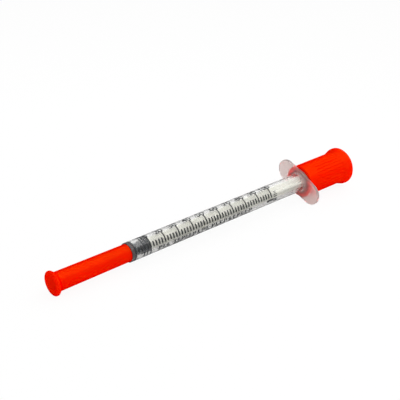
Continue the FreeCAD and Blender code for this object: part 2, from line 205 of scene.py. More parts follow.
def bumped(tree, height, strength, depth):
    # normals tilted as if the height stood up to a depth in mm
    made = addNode(tree, "Bump", {"Strength": strength, "Distance": depth * mm}, {"Height": height})
    return made.outputs[0]


def twoColours(tree, share, low, high):
    # the low colour where the share is 0, the high one where it is 1
    mixed = addNode(tree, "Mix", {"data_type": "RGBA", 6: linear(low), 7: linear(high)}, {0: share})
    return mixed.outputs[2]


def grained(name, look, settings):
    # one noise mixes the look's two colours and lifts its bump; the settings go to the shader
    material, tree, output = newMaterial(name)
    grain = noise(tree, look["grain"], look["detail"], look["stretch"])
    colour = twoColours(tree, grain, look["low"], look["high"])
    normal = bumped(tree, grain, look["bumpStrength"], look["bumpDepth"])
    shader = addNode(tree, "BsdfPrincipled", {"Roughness": look["roughness"], **settings},
                     {"Base Color": colour, "Normal": normal})
    tree.links.new(shader.outputs[0], output.inputs[0])
    return material


# Polypropylene, clear grade, injection moulded and polished: bright and faintly rippled, frosted
# and a bit milky at the flange
clearLook = {
    "tint": "#F7F7F5",
    "flangePaintedCapGlow": "#FBEAE6",  # painted light: the red glow that the cap throws into the flange, put into its colour
    "frostFrom": 74.3,  # mm along the barrel, where the frost begins
    "frostFull": 75.1,
    "index": 1.49,
    "tubeRoughness": 0.09,
    "flangeRoughness": 0.46,
    "tubeClarity": 0.97,
    "flangeClarity": 0.88,
    "haze": 1.2,  # mm that light spreads in the milky share
    "ripple": 5.0,  # mm across one ripple of the melt
    "rippleDetail": 2.0,
    "rippleStretch": 0.15,
    "frost": 0.35,  # mm across one grain of the frost, drawn coarse enough to show
    "frostDetail": 3.0,
    "bumpStrength": 0.015,
    "bumpDepth": 0.1,
    "shadowTint": "#FCFCFC",
}


def clearPlastic():
    # the share at the flange turns polish into frost, and shadow rays go straight through
    look = clearLook
    material, tree, output = newMaterial("clearMouldedPolypropylene")
    ripple = noise(tree, look["ripple"], look["rippleDetail"], look["rippleStretch"])
    frost = noise(tree, look["frost"], look["frostDetail"])
    coordinates = addNode(tree, "TexCoord")
    split = addNode(tree, "SeparateXYZ", links={0: coordinates.outputs["Object"]})
    atFlange = addNode(tree, "MapRange", {1: look["frostFrom"] * mm, 2: look["frostFull"] * mm},
                       {0: split.outputs[0]}).outputs[0]
    roughness = addNode(tree, "MapRange", {3: look["tubeRoughness"], 4: look["flangeRoughness"]},
                        {0: atFlange})
    clarity = addNode(tree, "MapRange", {3: look["tubeClarity"], 4: look["flangeClarity"]},
                      {0: atFlange})
    # at the flange the colour turns to painted light, the cap's red glow warming the plastic
    colour = twoColours(tree, atFlange, look["tint"], look["flangePaintedCapGlow"])
    height = addNode(tree, "Mix", {"data_type": "FLOAT"}, {0: atFlange, 2: ripple, 3: frost})
    normal = bumped(tree, height.outputs[0], look["bumpStrength"], look["bumpDepth"])
    plastic = addNode(tree, "BsdfPrincipled", {
        "IOR": look["index"], "Subsurface Weight": 1.0,
        "Subsurface Radius": (1.0, 1.0, 1.0), "Subsurface Scale": look["haze"] * mm,
    }, {"Base Color": colour, "Roughness": roughness.outputs[0],
        "Transmission Weight": clarity.outputs[0], "Normal": normal})
    paths = addNode(tree, "LightPath")
    through = addNode(tree, "BsdfTransparent", {"Color": linear(look["shadowTint"])})
    mixed = addNode(tree, "MixShader", links={0: paths.outputs["Is Shadow Ray"],
                                              1: plastic.outputs[0], 2: through.outputs[0]})
    tree.links.new(mixed.outputs[0], output.inputs[0])
    return material


# Polyethylene, dyed orange red, injection moulded: soft gloss, light creeps a little way in
orangeLook = {
    "light": "#FF0700",
    "deep": "#F60100",
    "skin": "#FFB42C",  # takes the blue out of what the surface mirrors
    "cloud": 9.0,  # mm across one cloud of dye
    "cloudDetail": 2.0,
    "roughness": 0.29,
    "index": 1.5,
    "peel": 0.5,  # mm, satin grain of the mould, drawn coarse enough to show
    "peelDetail": 3.0,
    "peelStrength": 0.05,
    "peelDepth": 0.1,
    "creep": 2.0,  # mm that red light travels inside
    "creepColours": (1.0, 0.12, 0.04),  # the same for red, green and blue, as shares
    "creepShare": 0.9,
}


def orangePlastic():
    # a coat of index 1 mirrors nothing itself and only tints what comes off the surface below
    look = orangeLook
    material, tree, output = newMaterial("orangeMouldedPolyethylene")
    cloud = noise(tree, look["cloud"], look["cloudDetail"])
    colour = twoColours(tree, cloud, look["deep"], look["light"])
    peel = noise(tree, look["peel"], look["peelDetail"])
    normal = bumped(tree, peel, look["peelStrength"], look["peelDepth"])
    plastic = addNode(tree, "BsdfPrincipled", {
        "Roughness": look["roughness"], "IOR": look["index"], "Coat Weight": 1.0, "Coat IOR": 1.0,
        "Coat Roughness": 1.0, "Coat Tint": linear(look["skin"]),
        "Subsurface Weight": look["creepShare"], "Subsurface Radius": look["creepColours"],
        "Subsurface Scale": look["creep"] * mm,
    }, {"Base Color": colour, "Normal": normal})
    tree.links.new(plastic.outputs[0], output.inputs[0])
    return material


# Butyl rubber, moulded and siliconed: near black, dulled by the wall that it wets
rubberLook = {
    "low": "#070F19",
    "high": "#0F1A27",
    "grain": 0.6,  # mm across one patch
    "detail": 4.0,
    "stretch": 1.0,
    "bumpStrength": 0.06,
    "bumpDepth": 0.05,
    "roughness": 0.3,
    "index": 1.52,
    "gloss": 0.25,  # share of the usual mirroring, 0.5 being all of it
}


def blackRubber():
    # patches of two darks, mirroring little because the wall wets it
    return grained("siliconedButylRubber", rubberLook, {
        "IOR": rubberLook["index"], "Specular IOR Level": rubberLook["gloss"]})


# Polypropylene, natural grade, injection moulded: milky white, light passes through its thin fins
naturalLook = {
    "low": "#DEDDD5",
    "high": "#ECEBE4",
    "grain": 4.0,  # mm across one cloud of the melt
    "detail": 2.0,
    "stretch": 0.2,
    "bumpStrength": 0.04,
    "bumpDepth": 0.1,
    "roughness": 0.28,
    "index": 1.49,
    "creep": 0.8,  # mm that light travels inside
    "creepShare": 0.4,
}


def naturalPlastic():
    # clouds of two whites drawn out along the rod, with light creeping a little way in
    return grained("naturalMouldedPolypropylene", naturalLook, {
        "IOR": naturalLook["index"], "Subsurface Weight": naturalLook["creepShare"],
        "Subsurface Radius": (1.0, 1.0, 1.0), "Subsurface Scale": naturalLook["creep"] * mm})


# Pad printing ink, cured: flat black with slightly uneven cover
inkLook = {
    "low": "#0E0F10",
    "high": "#24282A",
    "grain": 0.25,  # mm across one speck
    "detail": 2.0,
    "stretch": 1.0,
    "bumpStrength": 0.05,
    "bumpDepth": 0.02,
    "roughness": 0.45,
    "index": 1.5,
}


def printInk():
    # fine specks of two blacks
    return grained("padPrintedBlackInk", inkLook, {"IOR": inkLook["index"]})


# Stainless steel, drawn tube, electropolished: bright with fine lines along the tube
steelLook = {
    "low": "#B4B6B9",
    "high": "#D9DADC",
    "grain": 0.05,  # mm across one line
    "detail": 2.0,
    "stretch": 0.02,
    "bumpStrength": 0.05,
    "bumpDepth": 0.01,
    "roughness": 0.22,
}


def drawnSteel():
    # lines of two greys along the tube, all metal
    return grained("drawnStainlessSteel", steelLook, {"Metallic": 1.0})


# Epoxy adhesive, cured drop: faintly yellow and glassy
glueLook = {
    "tint": "#EFE9CF",
    "swirl": 0.4,  # mm across one swirl
    "detail": 2.0,
    "bumpStrength": 0.08,
    "bumpDepth": 0.05,
    "roughness": 0.12,
    "index": 1.55,
    "clarity": 0.7,
}


def curedGlue():
    # one tint, clear for the most part, with swirls that lift its surface
    look = glueLook
    material, tree, output = newMaterial("curedEpoxyDrop")
    swirl = noise(tree, look["swirl"], look["detail"])
    normal = bumped(tree, swirl, look["bumpStrength"], look["bumpDepth"])
    glue = addNode(tree, "BsdfPrincipled", {
        "Base Color": linear(look["tint"]), "Roughness": look["roughness"], "IOR": look["index"],
        "Transmission Weight": look["clarity"],
    }, {"Normal": normal})
    tree.links.new(glue.outputs[0], output.inputs[0])
    return material


clear = clearPlastic()
orange = orangePlastic()
rubber = blackRubber()
natural = naturalPlastic()
ink = printInk()
steel = drawnSteel()
glue = curedGlue()
print("materials made")


def dress(piece, material, body, slotName, *replacedNodes):
    # material, the body it moves with, the finish it stands for, which is not used, and the plain
    # solids it replaces
    piece.data.materials.append(material)
    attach(piece, body)
    if replacedNodes:
        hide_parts(*replacedNodes)


# Clear barrel with its nose, finger flange and collar, one moulding
barrelSizes = {
    "boreRadius": 2.325,
    "tubeRadius": 3.25,
    "shoulderPlace": -1.4,
    "noseRadius": 1.75,
    "noseTipRadius": 1.55,
    "finRadius": 2.2,
    "finWidth": 0.7,
    "finLength": 7.0,
    "finCount": 6,
    "finBlend": 0.16,  # mm over which a fin's side rises
    "finEndBlend": 0.6,
    "finSlack": 0.01,  # mm past the shoulder that a fin may still reach
    "finTipShare": 0.97,  # of the nose's tip radius, below which a station is the bore's
    "channelRadius": 0.3,
    "seatDepth": 5.0,
    "gluePocketRadius": 0.7,
    "gluePocketDepth": 2.0,
    "flangePlace": 75.3,
    "flangeThickness": 1.1,
    "flangeTurn": 20.74,  # degrees from +Y towards +Z
    "tipRadius": 4.0,
    "tipPlace": 6.3,
    "bellyRadius": 4.55,
    "collarRadius": 4.5,
    "recessRadius": 3.6,
    "mouthRadius": 2.725,
    "beadPlace": 70.3,
    "beadRadius": 2.27,  # 0.065 outside the CAD's, whose arc would show too dark
    "beadReach": 0.9,  # mm from its middle to each foot
    "beadSoftness": 3.0,
    "beadFoot": 4.0,
    "rootFillet": 0.7,
    "flangeEdge": 0.35,
    "collarEdge": 0.25,
    "recessEdge": 0.15,
    "mouthSoftness": 0.4,
    "noseEdge": 0.25,
    "shoulderFillet": 0.2,
    "shoulderEdge": 0.1,
    "floorEdge": 0.15,
    "pocketEdge": 0.05,
    "holeEdge": 0.03,
    "longestStep": 2.0,
    "stepsRound": 224,
}
needleRadius = 0.165


def flangeOutline(angles):
    # distance to the edge: on a tip circle a cos + root(tip^2 - a^2 sin^2), on the straight side
    # belly / cos(angle from its normal), and the belly's own radius between the two sides
    size = barrelSizes
    quarter = math.pi / 2
    folded = np.abs((angles - math.radians(size["flangeTurn"]) + quarter) % math.pi - quarter)
    lean = (size["bellyRadius"] - size["tipRadius"]) / size["tipPlace"]
    rise = math.sqrt(1 - lean ** 2)
    tipEnd = math.atan2(size["tipRadius"] * rise, size["tipPlace"] + size["tipRadius"] * lean)
    sideEnd = math.atan2(rise, lean)
    inside = np.maximum(size["tipRadius"] ** 2 - (size["tipPlace"] * np.sin(folded)) ** 2, 0)
    tip = size["tipPlace"] * np.cos(folded) + np.sqrt(inside)
    side = size["bellyRadius"] / (lean * np.cos(folded) + rise * np.sin(folded))
    waist = np.where(folded < sideEnd, side, size["bellyRadius"])
    return np.where(folded < tipEnd, tip, waist)


def withFins(profile, angles):
    # near each of the even angles the nose's radius grows to the fins', smoothly at the sides and
    # the tip; only the stations on the nose's outside take part
    size = barrelSizes
    profile = np.broadcast_to(profile, (len(profile), len(angles), 2)).copy()
    place, radius = profile[..., 0], profile[..., 1]
    spacing = 2 * math.pi / size["finCount"]
    aside = np.abs((angles + spacing / 2) % spacing - spacing / 2) * size["finRadius"]
    across = np.clip((size["finWidth"] / 2 + size["finBlend"] / 2 - aside) / size["finBlend"], 0, 1)
    finTip = size["shoulderPlace"] - size["finLength"]
    along = np.clip((place - finTip) / size["finEndBlend"], 0, 1)
    onNose = (place < size["shoulderPlace"] + size["finSlack"]) & (radius < size["finRadius"]) \
        & (radius > size["noseTipRadius"] * size["finTipShare"])
    grown = radius + (size["finRadius"] - radius) * across * along
    profile[..., 1] = np.where(onNose, grown, radius)
    return profile


def makeBarrel():
    # the profile runs out along the nose, tube, flange and collar and back along the bore
    size = barrelSizes
    noseEnd, collarEnd = span("barrel")
    angles = evenAngles(size["stepsRound"])
    outline = flangeOutline(angles)
    flangeFront, bead = size["flangePlace"], size["beadPlace"]
    flangeBack = flangeFront + size["flangeThickness"]
    seat = noseEnd + size["seatDepth"]
    pocket = noseEnd + size["gluePocketDepth"]
    profile = softProfile([
        (noseEnd, size["gluePocketRadius"], size["pocketEdge"]),
        (noseEnd, size["noseTipRadius"], size["noseEdge"]),
        (size["shoulderPlace"], size["noseRadius"], size["shoulderFillet"]),
        (size["shoulderPlace"], size["tubeRadius"], size["shoulderEdge"]),
        (flangeFront, size["tubeRadius"], size["rootFillet"]),
        (flangeFront, outline, size["flangeEdge"]),
        (flangeBack, outline, size["flangeEdge"]),
        (flangeBack, size["collarRadius"], size["recessEdge"]),
        (collarEnd, size["collarRadius"], size["collarEdge"]),
        (collarEnd, size["recessRadius"], size["collarEdge"]),
        (flangeBack, size["recessRadius"], size["recessEdge"]),
        (flangeBack, size["mouthRadius"], size["recessEdge"]),
        (flangeFront, size["boreRadius"], size["mouthSoftness"]),
        (bead + size["beadReach"], size["boreRadius"], size["beadFoot"]),
        (bead, size["beadRadius"], size["beadSoftness"]),
        (bead - size["beadReach"], size["boreRadius"], size["beadFoot"]),
        (0, size["boreRadius"], size["floorEdge"]),
        (0, size["channelRadius"], size["pocketEdge"]),
        (seat, size["channelRadius"], size["holeEdge"]),
        (seat, needleRadius, size["holeEdge"]),
        (pocket, needleRadius, size["holeEdge"]),
        (pocket, size["gluePocketRadius"], size["pocketEdge"]),
    ])
    profile = withFins(filled(profile, size["longestStep"], closed=True), angles)
    return surfaceMesh("barrelMoulding", turned(profile, angles), loopAlong=True)


dress(makeBarrel(), clear, "barrel", "clear_polypropylene", "barrel")
print("barrel made")


# Needle tube and the drop of glue round it
needleSizes = {
    "boreRadius": 0.09,
    "bevelLength": 0.9,
    "bevelLand": 0.03,
    "backEdge": 0.02,
    "longestStep": 1.0,
    "stepsRound": 48,
}
glueSizes = {
    "gap": 0.01,  # mm to the pocket's floor and wall
    "dropReach": 0.12,  # mm in front of the nose, where the drop bends to the needle
    "dropRadius": 0.42,
    "dropSoftness": 0.3,
    "floorEdge": 0.05,
    "rimEdge": 0.03,
    "longestStep": 0.4,
    "stepsRound": 64,
}


def makeNeedle():
    # a tube whose point is cut aslant: its front stations move back in proportion to their height
    size = needleSizes
    tip, back = span("needle")
    profile = softProfile([
        (tip, size["boreRadius"], 0), (tip, needleRadius, 0),
        (back, needleRadius, size["backEdge"]), (back, size["boreRadius"], size["backEdge"]),
    ])
    profile = filled(profile, size["longestStep"], closed=True)
    grid = turned(profile, evenAngles(size["stepsRound"]))
    land = size["bevelLand"]
    height = (grid[..., 2] + needleRadius - land) / (2 * needleRadius - land)
    ground = tip + np.clip(height, 0, 1) * size["bevelLength"]
    grid[..., 0] = np.maximum(grid[..., 0], ground)
    return surfaceMesh("needleTube", grid, loopAlong=True)


def makeGlue():
    # a ring that fills the nose's pocket and rises to the needle in a curve
    size = glueSizes
    low, high = span("needle_glue")
    noseEnd = span("barrel")[0]
    rim = barrelSizes["gluePocketRadius"] - size["gap"]
    profile = softProfile([
        (high - size["gap"], needleRadius, 0), (high - size["gap"], rim, size["floorEdge"]),
        (noseEnd, rim, size["rimEdge"]),
        (noseEnd - size["dropReach"], size["dropRadius"], size["dropSoftness"]),
        (low, needleRadius, 0),
    ])
    profile = filled(profile, size["longestStep"], closed=True)
    return surfaceMesh("glueDrop", turned(profile, evenAngles(size["stepsRound"])), loopAlong=True)


dress(makeNeedle(), steel, "barrel", "stainless_steel", "needle")
dress(makeGlue(), glue, "barrel", "clear_glue", "needle_glue")
print("needle and glue made")


# Needle shield: hollow, with a rim round its dished closed end
shieldSizes = {
    "mouthRadius": 2.93,
    "bodyRadius": 3.105,
    "rimRadius": 4.055,
    "rimBack": 1.0,  # mm from the closed end to the back of the rim's land
    "rimFront": 0.45,
    "rootLength": 1.1,
    "faceRadius": 2.85,
    "dishDepth": 0.45,
    "seatPress": 0.1,  # mm that the mouth sinks towards the shoulder, so that it shows through it
    "boreRadius": 2.195,  # a hair inside the nose's fins
    "deepRadius": 2.03,
    "gripLength": 9.5,
    "endWall": 1.6,
    "dishInset": 0.5,  # mm from the face's edge to the flat of the dish
    "dishSoftness": 0.6,
    "faceEdge": 0.25,
    "rimFrontEdge": 0.45,
    "rimBackEdge": 0.4,
    "rootSoftness": 0.6,
    "mouthEdge": 0.08,
    "stepLength": 0.2,
    "stepEdge": 0.1,
    "deepSoftness": 1.2,
    "longestStep": 2.5,
    "stepsRound": 160,
}


def makeShield():
    # revolved from the middle of the outer end, over the rim to the mouth and back inside
    size = shieldSizes
    end, mouth = span("needle_shield")
    mouth += size["seatPress"]
    dish = end + size["dishDepth"]
    deep = end + size["endWall"]
    land = end + size["rimBack"]
    grip = mouth - size["gripLength"]
    profile = softProfile([
        (dish, 0, 0),
        (dish, size["faceRadius"] - size["dishInset"], size["dishSoftness"]),
        (end, size["faceRadius"], size["faceEdge"]),
        (end + size["rimFront"], size["rimRadius"], size["rimFrontEdge"]),
        (land, size["rimRadius"], size["rimBackEdge"]),
        (land + size["rootLength"], size["bodyRadius"], size["rootSoftness"]),
        (mouth, size["mouthRadius"], size["mouthEdge"]),
        (mouth, size["boreRadius"], size["mouthEdge"]),
        (grip, size["boreRadius"], size["stepEdge"]),
        (grip - size["stepLength"], size["deepRadius"], size["stepEdge"]),
        (deep, size["deepRadius"], size["deepSoftness"]),
        (deep, 0, 0),
    ])
    profile = filled(profile, size["longestStep"], closed=False)
    return surfaceMesh("needleShield", turned(profile, evenAngles(size["stepsRound"])), poles=True)


dress(makeShield(), orange, "needle_shield", "orange_polyethylene", "needle_shield")
print("needle shield made")


# Rubber stopper: a front ring, a waist and three rings behind it, pressed against the bore
stopperSizes = {
    "ringRadius": 2.335,  # a hair past the bore, so that no air shows between rubber and wall
    "waistRadius": 1.93,
    "frontPress": 0.06,  # mm that the front sinks to the bore's floor, so that it shows through it
    "ringWidth": 0.65,
    "ringPitch": 1.28,
    "pocketRadius": 1.5,
    "throatRadius": 1.0,
    "neckLength": 1.3,
    "headLength": 1.85,
    "frontEdge": 0.06,
    "frontBackEdge": 0.05,
    "frontSlope": 0.15,  # mm from the front ring's back to the waist
    "ringRise": 0.1,  # mm from the waist up to a ring
    "ringEdge": 0.04,
    "ringFall": 0.06,  # mm either side of a ring's back, over which it falls
    "waistSoftness": 0.1,
    "backInset": 0.15,
    "backEdge": 0.1,
    "pocketEdge": 0.05,
    "pocketEndEdge": 0.1,
    "longestStep": 0.5,
    "stepsRound": 128,
}


def makeStopper():
    # revolved from the middle of the front face, over the rings and into the pocket at the back
    size = stopperSizes
    front, back = span("stopper")
    front -= size["frontPress"]
    frontBack = front + size["ringWidth"]
    ring, waist, half = size["ringRadius"], size["waistRadius"], size["ringWidth"] / 2
    soft, edge, fall = size["waistSoftness"], size["ringEdge"], size["ringFall"]
    corners = [
        (front, 0, 0), (front, ring, size["frontEdge"]),
        (frontBack, ring, size["frontBackEdge"]), (frontBack + size["frontSlope"], waist, soft),
    ]
    for step in (2, 1, 0):
        middle = back - half - step * size["ringPitch"]
        corners += [(middle - half - size["ringRise"], waist, soft), (middle - half, ring, edge),
                    (middle + half - fall, ring, edge)]
        if step:
            corners.append((middle + half + fall, waist, soft))
    throat = back - size["neckLength"]
    pocket = throat - size["headLength"]
    corners += [
        (back, ring - size["backInset"], size["backEdge"]),
        (back, size["throatRadius"], size["pocketEdge"]),
        (throat, size["throatRadius"], size["pocketEdge"]),
        (throat, size["pocketRadius"], size["pocketEdge"]),
        (pocket, size["pocketRadius"], size["pocketEndEdge"]),
        (pocket, 0, 0),
    ]
    profile = filled(softProfile(corners), size["longestStep"], closed=False)
    return surfaceMesh("rubberStopper", turned(profile, evenAngles(size["stepsRound"])), poles=True)


dress(makeStopper(), rubber, "plunger", "black_rubber", "stopper")
print("stopper made")


# Plunger rod: head and neck in the stopper, front disc, four fins and the thumb press
rodSizes = {
    "headRadius": 1.45,
    "neckRadius": 0.95,
    "neckLength": 1.3,
    "discLength": 0.8,
    "discRadius": 2.055,
    "finWidth": 0.9,
    "finEdge": 0.15,  # radius of a fin's outer edges
    "finFillet": 0.25,  # radius between two fins
    "flankRest": 0.1,  # mm between the points on a fin's side and the arcs at both its ends
    "flankPoints": 4,
    "finTurn": 65.74,  # degrees, 45 from the flange
    "pressRadius": 4.28,
    "pressThickness": 1.4,
    "bossRadius": 3.2,
    "bossLength": 0.9,
    "headSlope": 0.5,
    "headEdge": 0.1,
    "neckEdge": 0.05,
    "discEdge": 0.12,
    "finRootEdge": 0.15,
    "bossSoftness": 0.3,
    "pressEdge": 0.4,
    "arcSteps": 4,
    "longestStep": 3.0,
}


def crossOutline(size):
    # points round the cross: each eighth runs along a fin's rounded end, down its side and half
    # round the inner corner, is mirrored to a quarter and turned four times
    side, tip = size["finWidth"] / 2, size["discRadius"]
    edge, inner = size["finEdge"], size["finFillet"]
    reach = math.sqrt(tip ** 2 - side ** 2)
    end = [(tip, 0.0), (tip, side / 2)]
    turns = np.radians([0, 30, 60, 90])
    corner = [(reach - edge + edge * math.cos(t), side - edge + edge * math.sin(t)) for t in turns]
    hub, rest = side + inner, size["flankRest"]
    flank = [(x, side) for x in np.linspace(reach - edge - rest, hub + rest, size["flankPoints"])]
    fillet = [(hub - inner * math.sin(t), hub - inner * math.cos(t)) for t in turns]
    half = end + corner + flank + fillet[:2]
    quarter = np.array(half + [(y, x) for x, y in reversed(half[1:])])
    points = [quarter @ np.array([[math.cos(a), math.sin(a)], [-math.sin(a), math.cos(a)]])
              for a in np.arange(4) * math.pi / 2]
    return np.concatenate(points)


def makeRod():
    # rows hold the same points round the axis, on circles for the round stretches and on the
    # cross for the fins, so one skin covers the whole rod
    size = rodSizes
    front, back = span("plunger_rod")
    cross = crossOutline(size)
    angles = np.arctan2(cross[:, 1], cross[:, 0]) + math.radians(size["finTurn"])
    crossRadius = np.hypot(cross[:, 0], cross[:, 1])
    stopperBack = span("stopper")[1]
    disc = stopperBack + size["discLength"]
    press = back - size["pressThickness"]
    neck = stopperBack - size["neckLength"]
    profile = softProfile([
        (front, 0, 0),
        (front, size["neckRadius"], size["headEdge"]),
        (front + size["headSlope"], size["headRadius"], size["headEdge"]),
        (neck, size["headRadius"], size["headEdge"]),
        (neck, size["neckRadius"], size["neckEdge"]),
        (stopperBack, size["neckRadius"], size["neckEdge"]),
        (stopperBack, size["discRadius"], size["discEdge"]),
        (disc, size["discRadius"], size["discEdge"]),
        (disc, crossRadius, size["finRootEdge"]),
        (press - size["bossLength"], crossRadius, size["bossSoftness"]),
        (press, size["bossRadius"], size["bossSoftness"]),
        (press, size["pressRadius"], size["pressEdge"]),
        (back, size["pressRadius"], size["pressEdge"]),
        (back, 0, 0),
    ], steps=size["arcSteps"])
    profile = filled(profile, size["longestStep"], closed=False)
    return surfaceMesh("plungerRod", turned(profile, angles), poles=True)


dress(makeRod(), natural, "plunger", "natural_polypropylene", "plunger_rod")
print("plunger rod made")


# Plunger cap: hollow, grooved between its ribs and flared at the closed end
capSizes = {
    "gripRadius": 4.49,  # a hair inside the collar
    "gripLength": 3.2,
    "boreRadius": 4.53,
    "bodyRadius": 5.78,
    "seatPress": 0.06,  # mm that the mouth sinks towards the flange, so that it shows through it
    "crestRadius": 6.73,
    "flareStart": 4.5,  # mm from the closed end
    "flareEnd": 1.7,
    "slopeLength": 0.8,
    "faceRadius": 6.0,
    "endWall": 1.5,
    "ribCount": 30,
    "ribStart": 4.1,  # mm from the mouth
    "ribEnd": 3.6,  # mm from the closed end
    "grooveShare": 0.42,  # of one rib and groove
    "grooveDepth": 0.22,
    "grooveStart": 0.5,  # mm over which a groove sinks
    "grooveStop": 1.8,  # mm over which it rises again
    "outsideSlack": 0.3,  # mm inside the body that still counts as outside
    "faceEdge": 0.7,
    "slopeSoftness": 0.6,
    "crestSoftness": 1.2,
    "flareSoftness": 2.0,
    "mouthEdge": 0.25,
    "innerEdge": 0.1,
    "stepLength": 0.1,
    "stepEdge": 0.02,
    "endSoftness": 0.6,
    "longestStep": 0.5,
    "stepsPerRib": 16,
}


def withGrooves(profile, angles, mouth, end):
    # the outside sinks between each two ribs by half a cosine wave, which fades at both ends
    size = capSizes
    profile = np.broadcast_to(profile, (len(profile), len(angles), 2)).copy()
    place, radius = profile[..., 0], profile[..., 1]
    spacing = 2 * math.pi / size["ribCount"]
    aside = np.abs(angles % spacing - spacing / 2) / (spacing / 2)
    groove = 0.5 + 0.5 * np.cos(math.pi * np.clip(aside / size["grooveShare"], 0, 1))
    starts = np.clip((place - mouth - size["ribStart"]) / size["grooveStart"], 0, 1)
    stops = np.clip((end - size["ribEnd"] - place) / size["grooveStop"], 0, 1)
    outside = radius > size["bodyRadius"] - size["outsideSlack"]
    sunk = size["grooveDepth"] * groove * starts * stops
    profile[..., 1] = radius - np.where(outside, sunk, 0)
    return profile


def makeCap():
    # revolved from the middle of the closed end to the mouth and back inside
    size = capSizes
    mouth, end = span("plunger_cap")
    mouth -= size["seatPress"]
    grip = mouth + size["gripLength"]
    profile = softProfile([
        (end, 0, 0),
        (end, size["faceRadius"], size["faceEdge"]),
        (end - size["slopeLength"], size["crestRadius"], size["slopeSoftness"]),
        (end - size["flareEnd"], size["crestRadius"], size["crestSoftness"]),
        (end - size["flareStart"], size["bodyRadius"], size["flareSoftness"]),
        (mouth, size["bodyRadius"], size["mouthEdge"]),
        (mouth, size["gripRadius"], size["innerEdge"]),
        (grip, size["gripRadius"], size["stepEdge"]),
        (grip + size["stepLength"], size["boreRadius"], size["stepEdge"]),
        (end - size["endWall"], size["boreRadius"], size["endSoftness"]),
        (end - size["endWall"], 0, 0),
    ])
    angles = evenAngles(size["ribCount"] * size["stepsPerRib"])
    profile = withGrooves(filled(profile, size["longestStep"], closed=False), angles, mouth, end)
    return surfaceMesh("plungerCap", turned(profile, angles), poles=True)


dress(makeCap(), orange, "plunger_cap", "orange_polyethylene", "plunger_cap")
print("plunger cap made")


# Printed marks, bent round the barrel a little proud of its surface
printSizes = {
    "below": 0.012,  # mm sunk into the wall, so that the ink also shows from inside
    "above": 0.02,
    "scaleLength": 59.0,
    "tickCount": 51,
    "longEvery": 5,
    "longOverlap": 0.1,  # mm that a long line's upper part runs into its lower part
    "tickWidth": 0.54,
    "thinWidth": 0.46,  # upper part of a long line
    "viewLine": 37.0,  # degrees from -Y up to the middle of the printed side
    "tickFrom": -8.0,  # degrees below the middle are positive
    "lineTo": 23.5,
    "longFrom": -46.0,
    "numberMiddle": -57.0,
    "numberShift": -0.7,
    "numberStep": 5.9,  # mm between the tens
    "numberHeight": 2.2,
    "numberWeight": 0.012,
    "numberWidth": 1.12,
    "bandWidth": 0.2,  # mm between cuts, so that a flat number can bend
    "mergeWithin": 0.002,
    "curveSteps": 4,
    "onePlace": 58.4,  # the 1 at the end lies along the barrel
    "oneMiddle": 40.0,
    "oneHeight": 3.0,
    "oneWeight": 0.03,
    "wordFrom": 35.0,
    "wordTo": 70.0,
    "strokeWidth": 0.62,
    "strokePitch": 1.7,
    "stations": 9,  # points down a bar
}
# where the groups of strokes begin and end along the barrel, in mm
wordPlaces = [(9.0, 14.2), (15.3, 24.7), (25.3, 30.9), (31.4, 38.6), (39.2, 50.1)]
# plain bars after the last line: left and right in mm, upper and lower edge in degrees
endBars = [(60.4, 61.5, -8, -4), (60.4, 61.5, 1, 5), (60.2, 61.7, 10, 14),
           (60.1, 61.6, 21, 26), (60.0, 61.6, 37, 44), (60.0, 61.6, 48, 58)]


def bent(points):
    # flat (along, down, height) in mm to the barrel: the angle down the printed side is
    # down / radius, and the height is added to the barrel's radius
    radius = barrelSizes["tubeRadius"]
    below = math.radians(printSizes["viewLine"]) - points[..., 1] / radius
    reach = radius + points[..., 2]
    return np.stack([points[..., 0], -reach * np.cos(below), reach * np.sin(below)], axis=-1)


def printedBars(name, bars):
    # each bar is (left, right, from, to) in mm: a thin curved block with 4 points round its
    # section at each station down the side; the first and last station close it
    count, stations = len(bars), printSizes["stations"]
    left, right, start, stop = (np.array(bars)[:, i, None] for i in range(4))
    low, high = -printSizes["below"], printSizes["above"]
    down = start + (stop - start) * np.linspace(0, 1, stations)
    blank = np.zeros_like(down)
    section = [(left, low), (right, low), (right, high), (left, high)]
    grid = np.stack([np.stack([x + blank, down, blank + h], -1) for x, h in section], axis=2)
    points = bent(grid).reshape(-1, 3)
    index = np.arange(len(points)).reshape(count, stations, len(section))
    after = np.roll(index, -1, axis=2)
    sides = np.stack([index[:, :-1], after[:, :-1], after[:, 1:], index[:, 1:]], -1).reshape(-1, 4)
    ends = np.concatenate([index[:, 0, ::-1], index[:, -1]])
    mesh = bpy.data.meshes.new(name)
    mesh.from_pydata((points * mm).tolist(), [], np.concatenate([sides, ends]).tolist())
    if signedVolume(points, sides) < 0:
        mesh.flip_normals()
    return placed(name, mesh)


def arcMm(degrees):
    # length of an arc on the barrel: angle in radians times radius
    return math.radians(degrees) * barrelSizes["tubeRadius"]


def makeScale():
    # evenly spaced lines, every fifth one drawn on upwards by a thinner one
    size = printSizes
    half, thin = size["tickWidth"] / 2, size["thinWidth"] / 2
    places = np.linspace(0, size["scaleLength"], size["tickCount"])
    top, bottom = arcMm(size["tickFrom"]), arcMm(size["lineTo"])
    bars = [(place - half, place + half, top, bottom) for place in places]
    bars += [(place - thin, place + thin, arcMm(size["longFrom"]), top + size["longOverlap"])
             for place in places[::size["longEvery"]]]
    return printedBars("printedScale", bars)


def makeWording():
    # evenly spaced plain strokes fill each group, each followed by an upper or lower half stroke;
    # they stand where the photo has small print
    size = printSizes
    top, bottom = arcMm(size["wordFrom"]), arcMm(size["wordTo"])
    middle = (top + bottom) / 2
    bars = []
    for group, (left, right) in enumerate(wordPlaces):
        count = round((right - left) / size["strokePitch"])
        for number in range(count):
            place = left + (right - left) * number / count
            bars.append((place, place + size["strokeWidth"], top, bottom))
            second = place + size["strokePitch"] / 2
            upper = (number + group) % 3 == 0
            start, stop = (top, middle) if upper else (middle, bottom)
            bars.append((second, second + size["thinWidth"], start, stop))
    bars += [(left, right, arcMm(start), arcMm(stop)) for left, right, start, stop in endBars]
    return printedBars("printedStrokes", bars)


